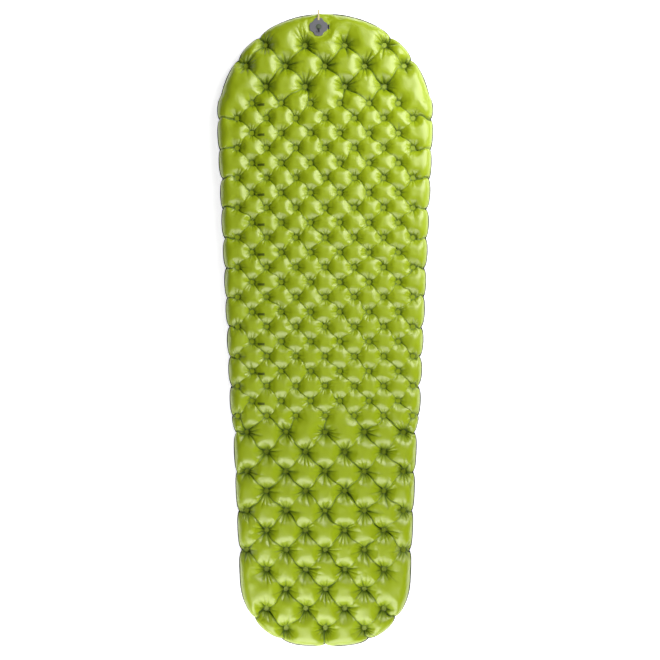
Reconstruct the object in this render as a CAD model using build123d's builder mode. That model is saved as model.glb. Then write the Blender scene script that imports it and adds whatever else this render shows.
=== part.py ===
from build123d import *
from math import acos, asin, atan2, cos, degrees, hypot, radians, sin
import os

# Inflatable sleeping pad, mummy shaped, with two layers of air cells under the
# torso and one layer at the head and legs. Millimetres. X is across the pad,
# +Y points to the head end, +Z is up. The origin is on the underside, below the
# middle of the pad's bounding box.

# --- driving dimensions: the pad --------------------------------------------------
LENGTH = 1655.0             # head rim to foot rim
SHOULDER_WIDTH = 556.0      # widest point
FOOT_WIDTH = 448.0          # where the foot's corner arcs would stand upright
THICKNESS = 62.0            # inflated
HEAD_END_RADIUS = 420.0     # flat arc across the head
SHOULDER_RADIUS = 270.0
FOOT_CORNER_RADIUS = 179.0
FOOT_END_RADIUS = 560.0     # flat arc across the foot

WALL = 1.0                  # coated fabric, drawn thicker than the real 0.2
SEAM_THICKNESS = 1.2        # two fabrics melted together
SEAM_FLANGE = 5.0           # seam showing outside the cells
SEAM_GRIP = 8.0             # seam inside the wall, holding the fill
EDGE_RADIUS = 28.0          # rounded side of the inflated pad

# --- driving dimensions: the weld lattice -----------------------------------------
WELD_RADIUS = 6.0
WELD_THICKNESS = 1.2
TIE_RADIUS = 4.0            # where the core sheet rises to a weld
TORSO_WELD_LEVEL = 15.0     # depth of a torso weld below the pad's face

HEAD_PITCH = 103.0          # across the pad
HEAD_ROW_STEP = 53.5
HEAD_FIRST_ROW = 82.0       # all row distances run from the head rim
HEAD_COLUMNS = (4, 5, 4)

TORSO_PITCH = 76.0
TORSO_ROW_STEP = 38.6
TORSO_FIRST_ROW = 235.0
TORSO_COLUMNS = (6, 7) * 11

LEG_PITCH = 102.5
LEG_ROW_STEP = 51.5
LEG_FIRST_ROW = 1090.0
LEG_COLUMNS = (5, 4, 5, 4, 5, 4, 5, 4, 3, 4, 3)

# --- driving dimensions: the core -------------------------------------------------
FILL_THICKNESS = 2.4        # insulating fibre
FILM_THICKNESS = 0.6        # heat reflecting film on the fill
CORE_SHEET_THICKNESS = 0.8
CORE_MARGIN = 24.0          # torso sheet's side clear of the pad's round edge
CORE_OVERLAP = 19.0         # torso sheet beyond its first and last welds

# --- driving dimensions: the valve ------------------------------------------------
VALVE_X = -17.0
VALVE_FROM_HEAD = 41.0      # valve centre to head rim
VALVE_BASE = 57.0           # face of the recess that the valve sits in
RECESS_RADIUS = 31.0
SHEET_HOLE_RADIUS = 15.8
SKIRT_RADIUS = 26.0
SKIRT_THICKNESS = 1.0
PATCH_RADIUS = 23.0
PATCH_THICKNESS = 0.8
BARREL_OUTER_RADIUS = 15.4
BARREL_BORE_RADIUS = 13.4
BARREL_BOTTOM = 44.0

CAP_RADIUS = 23.5           # deflate plug's lobed cap
CAP_THICKNESS = 2.0
CAP_GAP = 0.3               # cap above the skirt
SCALLOP_RADIUS = 15.0       # finger scallops between the cap's four lobes
SCALLOP_DEPTH = 3.6
BUNG_TOP_RADIUS = 13.0
BUNG_BOTTOM_RADIUS = 10.6
BUNG_BOTTOM = 46.0
PORT_RADIUS = 7.5           # where a pump or a mouth blows in
CHAMBER_RADIUS = 9.0        # one-way valve's chamber, below the port
CHAMBER_TOP = 55.0
SEAT_RADIUS = 6.0
SEAT_BOTTOM = 49.3
SEAT_THICKNESS = 1.2
GASKET_GAP = 0.05           # gasket just clear of the skirt when closed

GRILLE_BOTTOM = 51.4
GRILLE_THICKNESS = 1.4
GRILLE_RIM = 1.2
HUB_RADIUS = 3.0
STEM_RADIUS = 1.4
STEM_CLEARANCE = 0.08
BUTTON_RADIUS = 3.2
BUTTON_THICKNESS = 1.2
BUTTON_TOP = 56.8
FLAP_RADIUS = 7.6
FLAP_THICKNESS = 0.8
FLAP_GAP = 0.05

STOPPER_BOTTOM = 57.4       # small plug that closes the port
STOPPER_RADIUS = 7.0
STOPPER_FOOT_RADIUS = 6.4
STOPPER_RING_MINOR = 0.45   # rubber ring round the stopper
STOPPER_RING_LEVEL = 59.0
GRIP_RADIUS = 4.2
GRIP_HEIGHT = 1.1

DEFLATE_HINGE = 27.0        # hinge bead from the valve centre, along +X
DEFLATE_STRAP_WIDTH = 8.0
INFLATE_HINGE = 12.5        # hinge bead from the valve centre, along -Y
INFLATE_STRAP_WIDTH = 4.6
STRAP_THICKNESS = 0.8
BEAD_RADIUS = 0.8           # strap's end, which turns in the lugs
BEAD_CLEARANCE = 0.1
LUG_WALL = 1.0
LUG_WIDTH = 2.0

TAB_WIDTH = 5.0
TAB_TIP_WIDTH = 3.2
TAB_THICKNESS = 0.9
TAB_START = 17.0            # from the valve centre
TAB_PAST_HEAD = 3.0         # the tab reaches past the head rim

# --- worked out from the above ----------------------------------------------------
MIDDLE = THICKNESS / 2
HEAD_Y = (LENGTH - TAB_PAST_HEAD) / 2
FOOT_Y = HEAD_Y - LENGTH
SEAM_TOP = MIDDLE + SEAM_THICKNESS / 2
SEAM_BOTTOM = MIDDLE - SEAM_THICKNESS / 2
CORE_INSET = SEAM_FLANGE + WALL + SEAM_GRIP
FILL_BOTTOM = MIDDLE - FILL_THICKNESS / 2
FILL_TOP = MIDDLE + FILL_THICKNESS / 2
FILM_TOP = FILL_TOP + FILM_THICKNESS
CORE_TOP = FILM_TOP + CORE_SHEET_THICKNESS
UPPER_WELD_BASE = THICKNESS - TORSO_WELD_LEVEL - WELD_THICKNESS
LOWER_WELD_BASE = TORSO_WELD_LEVEL
SKIRT_TOP = VALVE_BASE + SKIRT_THICKNESS
CAP_BOTTOM = SKIRT_TOP + CAP_GAP
CAP_TOP = CAP_BOTTOM + CAP_THICKNESS
VALVE_Y = HEAD_Y - VALVE_FROM_HEAD
DEFLATE_AXIS_Z = CAP_BOTTOM + CAP_THICKNESS / 2
INFLATE_AXIS_Z = CAP_TOP + BEAD_RADIUS + BEAD_CLEARANCE


def level(z):
    """Horizontal plane over the pad's centre."""
    return Plane.XY.offset(z)


def valve_level(z):
    """Horizontal plane over the valve's centre."""
    return Plane(origin=(VALVE_X, VALVE_Y, z))


def pad_outline(inset, z):
    """Plan shape of the pad, drawn in from the rim: tangent arcs and straight sides."""
    head_r = HEAD_END_RADIUS - inset
    shoulder_r = SHOULDER_RADIUS - inset
    corner_r = FOOT_CORNER_RADIUS - inset
    foot_r = FOOT_END_RADIUS - inset

    shoulder_x = SHOULDER_WIDTH / 2 - SHOULDER_RADIUS
    head_turn = asin(shoulder_x / (HEAD_END_RADIUS - SHOULDER_RADIUS))
    head_centre_y = HEAD_Y - HEAD_END_RADIUS
    shoulder_y = head_centre_y + (HEAD_END_RADIUS - SHOULDER_RADIUS) * cos(head_turn)

    corner_x = FOOT_WIDTH / 2 - FOOT_CORNER_RADIUS
    foot_turn = asin(corner_x / (FOOT_END_RADIUS - FOOT_CORNER_RADIUS))
    foot_centre_y = FOOT_Y + FOOT_END_RADIUS
    corner_y = foot_centre_y - (FOOT_END_RADIUS - FOOT_CORNER_RADIUS) * cos(foot_turn)

    # The straight side touches both corner circles, so its normal leans by the taper.
    across, along = shoulder_x - corner_x, shoulder_y - corner_y
    lean = acos((corner_r - shoulder_r) / hypot(across, along)) - atan2(along, across)
    normal = (cos(lean), -sin(lean))
    side_top = (shoulder_x + shoulder_r * normal[0], shoulder_y + shoulder_r * normal[1])
    side_end = (corner_x + corner_r * normal[0], corner_y + corner_r * normal[1])

    head_sweep, foot_sweep, taper = degrees(head_turn), degrees(foot_turn), degrees(lean)
    with BuildSketch(level(z)) as outline:
        with BuildLine():
            CenterArc((0, head_centre_y), head_r, 90 - head_sweep, head_sweep)
            CenterArc((shoulder_x, shoulder_y), shoulder_r, -taper, 90 - head_sweep + taper)
            Line(side_top, side_end)
            CenterArc((corner_x, corner_y), corner_r, foot_sweep - 90, 90 - foot_sweep - taper)
            CenterArc((0, foot_centre_y), foot_r, -90, foot_sweep)
            mirror(about=Plane.YZ)
        make_face()
    return outline.sketch


def weld_rows(columns, pitch, first_row, row_step):
    """Centres of the staggered weld spots, row by row from the head rim."""
    spots = []
    for row, count in enumerate(columns):
        y = HEAD_Y - first_row - row * row_step
        spots += [((i - (count - 1) / 2) * pitch, y) for i in range(count)]
    return spots


HEAD_SPOTS = weld_rows(HEAD_COLUMNS, HEAD_PITCH, HEAD_FIRST_ROW, HEAD_ROW_STEP)
TORSO_SPOTS = weld_rows(TORSO_COLUMNS, TORSO_PITCH, TORSO_FIRST_ROW, TORSO_ROW_STEP)
LEG_SPOTS = weld_rows(LEG_COLUMNS, LEG_PITCH, LEG_FIRST_ROW, LEG_ROW_STEP)


def spots_sketch(spots, radius, z):
    """One small circle at each weld spot."""
    with BuildSketch(level(z)) as sketch:
        with Locations(*spots):
            Circle(radius)
    return sketch.sketch


def write(part, label):
    """Label a finished piece and write it to its own file."""
    part.label = label
    export_step(part, f"parts/{label}.step")


os.makedirs("parts", exist_ok=True)

# --- underside: a shallow tray with a rounded side ----------------------------------
with BuildPart() as bottom_hollow:
    extrude(pad_outline(SEAM_FLANGE + WALL, WALL), amount=THICKNESS)
    fillet(bottom_hollow.edges().group_by(Axis.Z)[0], EDGE_RADIUS - WALL)

with BuildPart() as bottom_sheet:
    extrude(pad_outline(SEAM_FLANGE, 0), amount=SEAM_BOTTOM)
    fillet(bottom_sheet.edges().group_by(Axis.Z)[0], EDGE_RADIUS)
    add(bottom_hollow.part, mode=Mode.SUBTRACT)
write(bottom_sheet.part, "bottom_sheet")

# --- top: the same tray upside down, sunk and pierced where the valve sits ----------
with BuildPart() as top_hollow:
    extrude(pad_outline(SEAM_FLANGE + WALL, 0), amount=THICKNESS - WALL)
    fillet(top_hollow.edges().group_by(Axis.Z)[-1], EDGE_RADIUS - WALL)
    with BuildSketch(valve_level(VALVE_BASE - WALL)):
        Circle(RECESS_RADIUS + WALL)
    extrude(amount=THICKNESS, mode=Mode.SUBTRACT)

with BuildPart() as top_sheet:
    extrude(pad_outline(SEAM_FLANGE, SEAM_TOP), amount=THICKNESS - SEAM_TOP)
    fillet(top_sheet.edges().group_by(Axis.Z)[-1], EDGE_RADIUS)
    add(top_hollow.part, mode=Mode.SUBTRACT)
    with BuildSketch(valve_level(VALVE_BASE)):
        Circle(RECESS_RADIUS)
    extrude(amount=THICKNESS, mode=Mode.SUBTRACT)
    with BuildSketch(valve_level(VALVE_BASE - 2 * WALL)):
        Circle(SHEET_HOLE_RADIUS)
    extrude(amount=3 * WALL, mode=Mode.SUBTRACT)
write(top_sheet.part, "top_sheet")

# --- rim: the welded seam all round -------------------------------------------------
with BuildPart() as perimeter_seam:
    extrude(pad_outline(0, SEAM_BOTTOM), amount=SEAM_THICKNESS)
    extrude(pad_outline(CORE_INSET, SEAM_BOTTOM), amount=SEAM_THICKNESS, mode=Mode.SUBTRACT)
write(perimeter_seam.part, "perimeter_seam")

# --- core: fibre fill, reflective film and the torso's middle sheet -----------------
with BuildPart() as insulation_fill:
    extrude(pad_outline(CORE_INSET, FILL_BOTTOM), amount=FILL_THICKNESS)
write(insulation_fill.part, "insulation_fill")

with BuildPart() as reflective_film:
    extrude(pad_outline(CORE_INSET, FILL_TOP), amount=FILM_THICKNESS)
write(reflective_film.part, "reflective_film")

torso_top_y = TORSO_SPOTS[0][1] + CORE_OVERLAP
torso_end_y = TORSO_SPOTS[-1][1] - CORE_OVERLAP
with BuildPart() as core_sheet:
    extrude(pad_outline(CORE_MARGIN, FILM_TOP), amount=CORE_SHEET_THICKNESS)
    with BuildSketch(level(FILM_TOP)):
        with Locations((0, (torso_top_y + torso_end_y) / 2)):
            Rectangle(SHOULDER_WIDTH, torso_top_y - torso_end_y)
    extrude(amount=CORE_SHEET_THICKNESS, mode=Mode.INTERSECT)
write(core_sheet.part, "core_sheet")

with BuildPart() as core_ties_upper:
    extrude(spots_sketch(TORSO_SPOTS, TIE_RADIUS, CORE_TOP), amount=UPPER_WELD_BASE - CORE_TOP)
write(core_ties_upper.part, "core_ties_upper")

tie_start = LOWER_WELD_BASE + WELD_THICKNESS
with BuildPart() as core_ties_lower:
    extrude(spots_sketch(TORSO_SPOTS, TIE_RADIUS, tie_start), amount=FILL_BOTTOM - tie_start)
write(core_ties_lower.part, "core_ties_lower")

# --- weld spots: the small discs where fabric and core are melted together ----------
with BuildPart() as torso_welds_upper:
    extrude(spots_sketch(TORSO_SPOTS, WELD_RADIUS, UPPER_WELD_BASE), amount=WELD_THICKNESS)
write(torso_welds_upper.part, "torso_welds_upper")

with BuildPart() as torso_welds_lower:
    extrude(spots_sketch(TORSO_SPOTS, WELD_RADIUS, LOWER_WELD_BASE), amount=WELD_THICKNESS)
write(torso_welds_lower.part, "torso_welds_lower")

with BuildPart() as head_welds:
    extrude(spots_sketch(HEAD_SPOTS, WELD_RADIUS, FILM_TOP), amount=WELD_THICKNESS)
    extrude(spots_sketch(HEAD_SPOTS, WELD_RADIUS, FILL_BOTTOM), amount=-WELD_THICKNESS)
write(head_welds.part, "head_welds")

with BuildPart() as leg_welds:
    extrude(spots_sketch(LEG_SPOTS, WELD_RADIUS, FILM_TOP), amount=WELD_THICKNESS)
    extrude(spots_sketch(LEG_SPOTS, WELD_RADIUS, FILL_BOTTOM), amount=-WELD_THICKNESS)
write(leg_welds.part, "leg_welds")

# --- valve: fixed pieces ------------------------------------------------------------
with BuildPart() as valve_patch:
    with BuildSketch(valve_level(VALVE_BASE - WALL)):
        Circle(PATCH_RADIUS)
        Circle(SHEET_HOLE_RADIUS, mode=Mode.SUBTRACT)
    extrude(amount=-PATCH_THICKNESS)
write(valve_patch.part, "valve_patch")

bead_hole_radius = BEAD_RADIUS + BEAD_CLEARANCE
lug_radius = bead_hole_radius + LUG_WALL
deflate_lug_y = DEFLATE_STRAP_WIDTH / 2 + BEAD_CLEARANCE + LUG_WIDTH / 2
with BuildPart() as valve_flange:
    with BuildSketch(valve_level(VALVE_BASE)):
        Circle(SKIRT_RADIUS)
        with Locations((DEFLATE_HINGE, 0)):
            Rectangle(2 * lug_radius, 2 * deflate_lug_y + LUG_WIDTH)
    extrude(amount=SKIRT_THICKNESS)
    with BuildSketch(valve_level(BARREL_BOTTOM)):
        Circle(BARREL_OUTER_RADIUS)
    extrude(amount=VALVE_BASE - BARREL_BOTTOM)
    with BuildSketch(valve_level(BARREL_BOTTOM)):
        Circle(BARREL_BORE_RADIUS)
    extrude(amount=SKIRT_TOP - BARREL_BOTTOM, mode=Mode.SUBTRACT)
    # two lugs hold the bead at the end of the deflate strap
    for side in (-1, 1):
        lug_face = Plane(
            origin=(VALVE_X + DEFLATE_HINGE, VALVE_Y + side * deflate_lug_y, SKIRT_TOP),
            x_dir=(1, 0, 0),
            z_dir=(0, -1, 0),
        )
        lug_height = DEFLATE_AXIS_Z - SKIRT_TOP
        with BuildSketch(lug_face):
            with Locations((0, lug_height)):
                Circle(lug_radius)
            with Locations((0, lug_height / 2)):
                Rectangle(2 * lug_radius, lug_height)
            with Locations((0, lug_height)):
                Circle(bead_hole_radius, mode=Mode.SUBTRACT)
        extrude(amount=LUG_WIDTH / 2, both=True)
write(valve_flange.part, "valve_flange")

# --- valve: deflate plug, which pulls out of the flange -----------------------------
scallop_centre = CAP_RADIUS - SCALLOP_DEPTH + SCALLOP_RADIUS
inflate_lug_x = INFLATE_STRAP_WIDTH / 2 + BEAD_CLEARANCE + LUG_WIDTH / 2
with BuildPart() as deflate_plug:
    with BuildSketch(valve_level(CAP_BOTTOM)) as cap_plan:
        Circle(CAP_RADIUS)
        with PolarLocations(scallop_centre, 4, start_angle=45):
            Circle(SCALLOP_RADIUS, mode=Mode.SUBTRACT)
        fillet(cap_plan.vertices(), 2.0)
    extrude(amount=CAP_THICKNESS)
    chamfer(deflate_plug.edges().group_by(Axis.Z)[-1], 0.5)
    with BuildSketch(valve_level(CAP_BOTTOM)):
        Circle(BUNG_TOP_RADIUS)
    with BuildSketch(valve_level(BUNG_BOTTOM)):
        Circle(BUNG_BOTTOM_RADIUS)
    loft()
    with BuildSketch(valve_level(CHAMBER_TOP)):
        Circle(PORT_RADIUS)
    extrude(amount=CAP_TOP - CHAMBER_TOP, mode=Mode.SUBTRACT)
    with BuildSketch(valve_level(BUNG_BOTTOM)):
        Circle(CHAMBER_RADIUS)
    extrude(amount=CHAMBER_TOP - BUNG_BOTTOM, mode=Mode.SUBTRACT)
    with BuildSketch(valve_level(SEAT_BOTTOM)):
        Circle(CHAMBER_RADIUS)
        Circle(SEAT_RADIUS, mode=Mode.SUBTRACT)
    extrude(amount=SEAT_THICKNESS)
    # two lugs hold the bead at the end of the inflate strap
    for side in (-1, 1):
        lug_face = Plane(
            origin=(VALVE_X + side * inflate_lug_x, VALVE_Y - INFLATE_HINGE, CAP_TOP),
            x_dir=(0, 1, 0),
            z_dir=(1, 0, 0),
        )
        lug_height = INFLATE_AXIS_Z - CAP_TOP
        with BuildSketch(lug_face):
            with Locations((0, lug_height)):
                Circle(lug_radius)
            with Locations((0, lug_height / 2 - SEAT_THICKNESS / 2)):
                Rectangle(2 * lug_radius, lug_height + SEAT_THICKNESS)
            with Locations((0, lug_height)):
                Circle(bead_hole_radius, mode=Mode.SUBTRACT)
        extrude(amount=LUG_WIDTH / 2, both=True)
write(deflate_plug.part, "deflate_plug")

with BuildPart() as deflate_gasket:
    with BuildSketch(valve_level(CAP_BOTTOM)):
        Circle(BARREL_OUTER_RADIUS + 3)
        Circle(BARREL_OUTER_RADIUS, mode=Mode.SUBTRACT)
    extrude(amount=GASKET_GAP - CAP_GAP)
write(deflate_gasket.part, "deflate_gasket")

with BuildPart() as deflate_strap:
    strap_start = CAP_RADIUS - 0.02
    with BuildSketch(valve_level(DEFLATE_AXIS_Z - STRAP_THICKNESS / 2)):
        with Locations(((strap_start + DEFLATE_HINGE) / 2, 0)):
            Rectangle(DEFLATE_HINGE - strap_start, DEFLATE_STRAP_WIDTH)
        Circle(CAP_RADIUS, mode=Mode.SUBTRACT)
    extrude(amount=STRAP_THICKNESS)
    bead_face = Plane(
        origin=(VALVE_X + DEFLATE_HINGE, VALVE_Y, DEFLATE_AXIS_Z),
        x_dir=(1, 0, 0),
        z_dir=(0, -1, 0),
    )
    with BuildSketch(bead_face):
        Circle(BEAD_RADIUS)
    extrude(amount=deflate_lug_y + LUG_WIDTH / 2, both=True)
write(deflate_strap.part, "deflate_strap")

# --- valve: one-way valve inside the deflate plug ------------------------------------
spoke_end = CHAMBER_RADIUS - GRILLE_RIM / 2
with BuildPart() as check_grille:
    with BuildSketch(valve_level(GRILLE_BOTTOM)):
        Circle(CHAMBER_RADIUS)
        Circle(CHAMBER_RADIUS - GRILLE_RIM, mode=Mode.SUBTRACT)
        Circle(HUB_RADIUS)
        with PolarLocations((spoke_end + STEM_RADIUS) / 2, 3, start_angle=90):
            Rectangle(spoke_end - STEM_RADIUS, GRILLE_RIM)
        Circle(STEM_RADIUS + STEM_CLEARANCE, mode=Mode.SUBTRACT)
    extrude(amount=GRILLE_THICKNESS)
write(check_grille.part, "check_grille")

flap_top = SEAT_BOTTOM - FLAP_GAP
with BuildPart() as check_flap:
    with BuildSketch(valve_level(flap_top)):
        Circle(FLAP_RADIUS)
    extrude(amount=-FLAP_THICKNESS)
    fillet(check_flap.edges().group_by(Axis.Z)[0], 0.3)
write(check_flap.part, "check_flap")

with BuildPart() as vent_button:
    with BuildSketch(valve_level(flap_top)):
        Circle(STEM_RADIUS)
    extrude(amount=BUTTON_TOP - flap_top)
    with BuildSketch(valve_level(BUTTON_TOP)):
        Circle(BUTTON_RADIUS)
    extrude(amount=-BUTTON_THICKNESS)
    fillet(vent_button.edges().group_by(Axis.Z)[-1], 0.4)
write(vent_button.part, "vent_button")

# --- valve: stopper that closes the inflation port -----------------------------------
with BuildPart() as inflate_stopper:
    with BuildSketch(valve_level(CAP_TOP)):
        Circle(STOPPER_RADIUS)
    with BuildSketch(valve_level(STOPPER_BOTTOM)):
        Circle(STOPPER_FOOT_RADIUS)
    loft()
    groove = Plane(
        origin=(VALVE_X, VALVE_Y, STOPPER_RING_LEVEL),
        x_dir=(1, 0, 0),
        z_dir=(0, -1, 0),
    )
    with BuildSketch(groove):
        with Locations((STOPPER_RADIUS - STOPPER_RING_MINOR / 2, 0)):
            Circle(STOPPER_RING_MINOR)
    revolve(axis=Axis((VALVE_X, VALVE_Y, 0), (0, 0, 1)), mode=Mode.SUBTRACT)
write(inflate_stopper.part, "inflate_stopper")

with BuildPart() as stopper_ring:
    with BuildSketch(groove):
        with Locations((STOPPER_RADIUS - STOPPER_RING_MINOR / 2, 0)):
            Circle(STOPPER_RING_MINOR)
    revolve(axis=Axis((VALVE_X, VALVE_Y, 0), (0, 0, 1)))
write(stopper_ring.part, "stopper_ring")

with BuildPart() as inflate_grip:
    with BuildSketch(valve_level(CAP_TOP)):
        Circle(GRIP_RADIUS)
    extrude(amount=GRIP_HEIGHT)
    fillet(inflate_grip.edges().group_by(Axis.Z)[-1], 0.5)
write(inflate_grip.part, "inflate_grip")

with BuildPart() as inflate_strap:
    strap_bottom = CAP_TOP + BEAD_CLEARANCE
    with BuildSketch(valve_level(strap_bottom)):
        with Locations((0, -INFLATE_HINGE / 2)):
            Rectangle(INFLATE_STRAP_WIDTH, INFLATE_HINGE)
        Circle(GRIP_RADIUS, mode=Mode.SUBTRACT)
    extrude(amount=STRAP_THICKNESS)
    # foot that joins the strap to the stopper's face
    with BuildSketch(valve_level(CAP_TOP)):
        with Locations((0, -(GRIP_RADIUS + STOPPER_RADIUS) / 2)):
            Rectangle(INFLATE_STRAP_WIDTH, (STOPPER_RADIUS - GRIP_RADIUS) / 2)
    extrude(amount=BEAD_CLEARANCE)
    bead_line = Plane(
        origin=(VALVE_X, VALVE_Y - INFLATE_HINGE, INFLATE_AXIS_Z),
        x_dir=(0, 1, 0),
        z_dir=(1, 0, 0),
    )
    with BuildSketch(bead_line):
        Circle(BEAD_RADIUS)
    extrude(amount=inflate_lug_x + LUG_WIDTH / 2, both=True)
write(inflate_strap.part, "inflate_strap")

# --- valve: soft pull tab on the deflate plug, lying out over the head rim -----------
tab_end = VALVE_FROM_HEAD + TAB_PAST_HEAD
with BuildPart() as pull_tab:
    with BuildSketch(valve_level(CAP_TOP)):
        with BuildLine():
            Polyline(
                (-TAB_WIDTH / 2, TAB_START),
                (TAB_WIDTH / 2, TAB_START),
                (TAB_TIP_WIDTH / 2, tab_end),
                (-TAB_TIP_WIDTH / 2, tab_end),
                close=True,
            )
        make_face()
    extrude(amount=TAB_THICKNESS)
write(pull_tab.part, "pull_tab")
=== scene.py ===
import math

import bmesh
import bpy
import numpy as np
from mathutils import Matrix, Vector
from mathutils.geometry import convex_hull_2d
from mathutils.kdtree import KDTree


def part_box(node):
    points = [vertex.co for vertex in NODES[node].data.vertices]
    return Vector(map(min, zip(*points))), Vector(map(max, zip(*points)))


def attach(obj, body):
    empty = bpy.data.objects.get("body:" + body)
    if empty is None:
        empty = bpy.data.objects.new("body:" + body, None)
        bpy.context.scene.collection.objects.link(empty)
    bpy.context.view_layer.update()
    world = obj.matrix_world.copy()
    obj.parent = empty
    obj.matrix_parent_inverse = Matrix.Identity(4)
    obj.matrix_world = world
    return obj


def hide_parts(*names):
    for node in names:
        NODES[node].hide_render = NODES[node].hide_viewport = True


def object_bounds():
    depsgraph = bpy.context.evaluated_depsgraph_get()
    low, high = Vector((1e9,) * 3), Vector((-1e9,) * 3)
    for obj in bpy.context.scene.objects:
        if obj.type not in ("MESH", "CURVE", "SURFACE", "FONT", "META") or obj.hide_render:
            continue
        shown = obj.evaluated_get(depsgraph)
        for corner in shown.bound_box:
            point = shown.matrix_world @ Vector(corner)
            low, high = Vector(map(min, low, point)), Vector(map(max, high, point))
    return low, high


bl_info = {
    "name": "Quilted air mat",
    "version": (1, 0, 0),
    "blender": (4, 5, 0),
    "location": "3D View > Sidebar > Air mat",
    "description": "Covers, welded rim, valve finishes and studio for an inflatable sleeping pad",
    "category": "Object",
}

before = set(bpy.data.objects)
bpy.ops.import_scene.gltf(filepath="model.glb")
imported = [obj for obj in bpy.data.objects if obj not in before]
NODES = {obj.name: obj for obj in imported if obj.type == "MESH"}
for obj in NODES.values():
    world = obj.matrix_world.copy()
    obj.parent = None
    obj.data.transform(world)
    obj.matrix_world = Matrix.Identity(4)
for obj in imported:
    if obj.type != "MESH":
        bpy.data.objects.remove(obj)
CAD_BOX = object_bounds()
MAIN_BODY = "pad"

TORSO_WELDS = "torso_welds_upper"           # small cells, in two layers
SINGLE_WELDS = ("head_welds", "leg_welds")  # large cells, in one layer
DISC_APART = 0.014          # points further apart than this are on different weld discs
RIM_STEP = 0.002            # spacing of the points along the rim's outline


# ----------------------------------------------------------------------------------
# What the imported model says: the rim's outline, the weld spots and the levels
# ----------------------------------------------------------------------------------

def node_points(name):
    """All corner points of a CAD node's mesh, as an array."""
    mesh = NODES[name].data
    points = np.empty(len(mesh.vertices) * 3, np.float32)
    mesh.vertices.foreach_get("co", points)
    return points.reshape(-1, 3).astype(float)


def spot_centres(name):
    """Centre of each weld disc in a node, found by gathering the points near each other."""
    points = node_points(name)[:, :2]
    left = np.ones(len(points), bool)
    centres = []
    while left.any():
        first = points[np.argmax(left)]
        near = left & (np.hypot(*(points - first).T) < DISC_APART)
        centres.append((points[near].min(0) + points[near].max(0)) / 2)
        left &= ~near
    return np.array(centres)


class Plan:
    """Levels and plan shape of the pad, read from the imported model."""

    def __init__(self):
        seam_low, seam_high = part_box("perimeter_seam")
        self.middle = (seam_low.z + seam_high.z) / 2
        self.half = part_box("top_sheet")[1].z - self.middle
        self.rim = self.outline()
        self.spots = np.concatenate([spot_centres(n) for n in (TORSO_WELDS, *SINGLE_WELDS)])
        torso_count = len(spot_centres(TORSO_WELDS))
        torso_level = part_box(TORSO_WELDS)[1].z
        single_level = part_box(SINGLE_WELDS[0])[1].z
        levels = np.full(len(self.spots), single_level)
        levels[:torso_count] = torso_level
        self.levels = levels
        self.in_torso = np.arange(len(self.spots)) < torso_count
        skirt_low, skirt_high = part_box("valve_flange")
        bore_low, bore_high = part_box("deflate_gasket")
        self.valve = np.array([(bore_low.x + bore_high.x) / 2, (bore_low.y + bore_high.y) / 2])
        self.skirt_radius = (skirt_high.y - skirt_low.y) / 2
        self.skirt_level = bore_low.z

    def outline(self):
        """The rim's outermost line, evenly stepped, running anticlockwise."""
        points = node_points("perimeter_seam")[:, :2]
        loop = points[convex_hull_2d([Vector(p) for p in points])]
        closed = np.vstack([loop, loop[:1]])
        run = np.r_[0, np.cumsum(np.hypot(*np.diff(closed, axis=0).T))]
        step = np.linspace(0, run[-1], int(run[-1] / RIM_STEP), endpoint=False)
        return np.column_stack([np.interp(step, run, closed[:, k]) for k in (0, 1)])


PLAN = Plan()


# ----------------------------------------------------------------------------------
# Shape of the inflated fabric
# ----------------------------------------------------------------------------------

SIDE_REACH = 0.030          # how far in from the rim the rounded side goes
TORSO_CRATER = 0.037        # radius of the hollow round a torso weld
SINGLE_CRATER = 0.051       # and round a weld of the head or the legs
TORSO_STEEP = 2.7           # how steeply a hollow falls to its weld
SINGLE_STEEP = 3.2
CRATER_MERGE = 0.015        # neighbours' craters fade out this near to a weld
PIN_RADIUS = 0.0064         # cloth this near a weld's centre is held
BELOW_DISC = 0.0004         # cloth passes this far under a weld disc's face
WELD_BLEND = 0.0025         # from the pressed disc out to free cloth
VALVE_HOLE = 0.0192         # radius of the opening in the cover
VALVE_BLEND = 0.020         # from the stiff valve skirt out to free cloth
COVER_ON_SKIRT = 0.00018    # cover lies this far above the skirt's face
SKIRT_EDGE = 0.0010         # cloth lies flat this far past the skirt's edge
SKIRT_FALL = 0.0040         # and is free again over this length
OUTER_WELD = 0.058          # welds nearer than this to the rim draw it in
NOTCH_DEPTH = 0.0080        # how far such a weld draws the rim in
NOTCH_WIDTH = 0.0115        # how far a notch spreads along the rim
NOTCH_FADE = 0.040          # and in from the rim
RIM_INSET = 0.0015          # cells reach to this near the flange's outline
TORSO_SWELL = 0.0050        # the small cells of the torso stand out this much further
SWELL_FADE = 0.030          # over this length at the torso's two ends
LOWEST_RISE = 0.0024        # cover stays this far above the middle, clear of the inner film


def smooth(t):
    t = np.clip(t, 0, 1)
    return t * t * (3 - 2 * t)


def side_table(count=200):
    """Arc length, distance in from the rim and height along the rounded side."""
    turn = np.linspace(0, math.pi / 2, count)
    inward = SIDE_REACH * (1 - np.cos(turn))
    height = PLAN.half * np.sin(turn)
    run = np.r_[0, np.cumsum(np.hypot(np.diff(inward), np.diff(height)))]
    return run, inward, height


SIDE_RUN, SIDE_IN, SIDE_UP = side_table()
SPARE = SIDE_RUN[-1] - SIDE_REACH     # how much wider the flat cut is than the pad, each side


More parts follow.
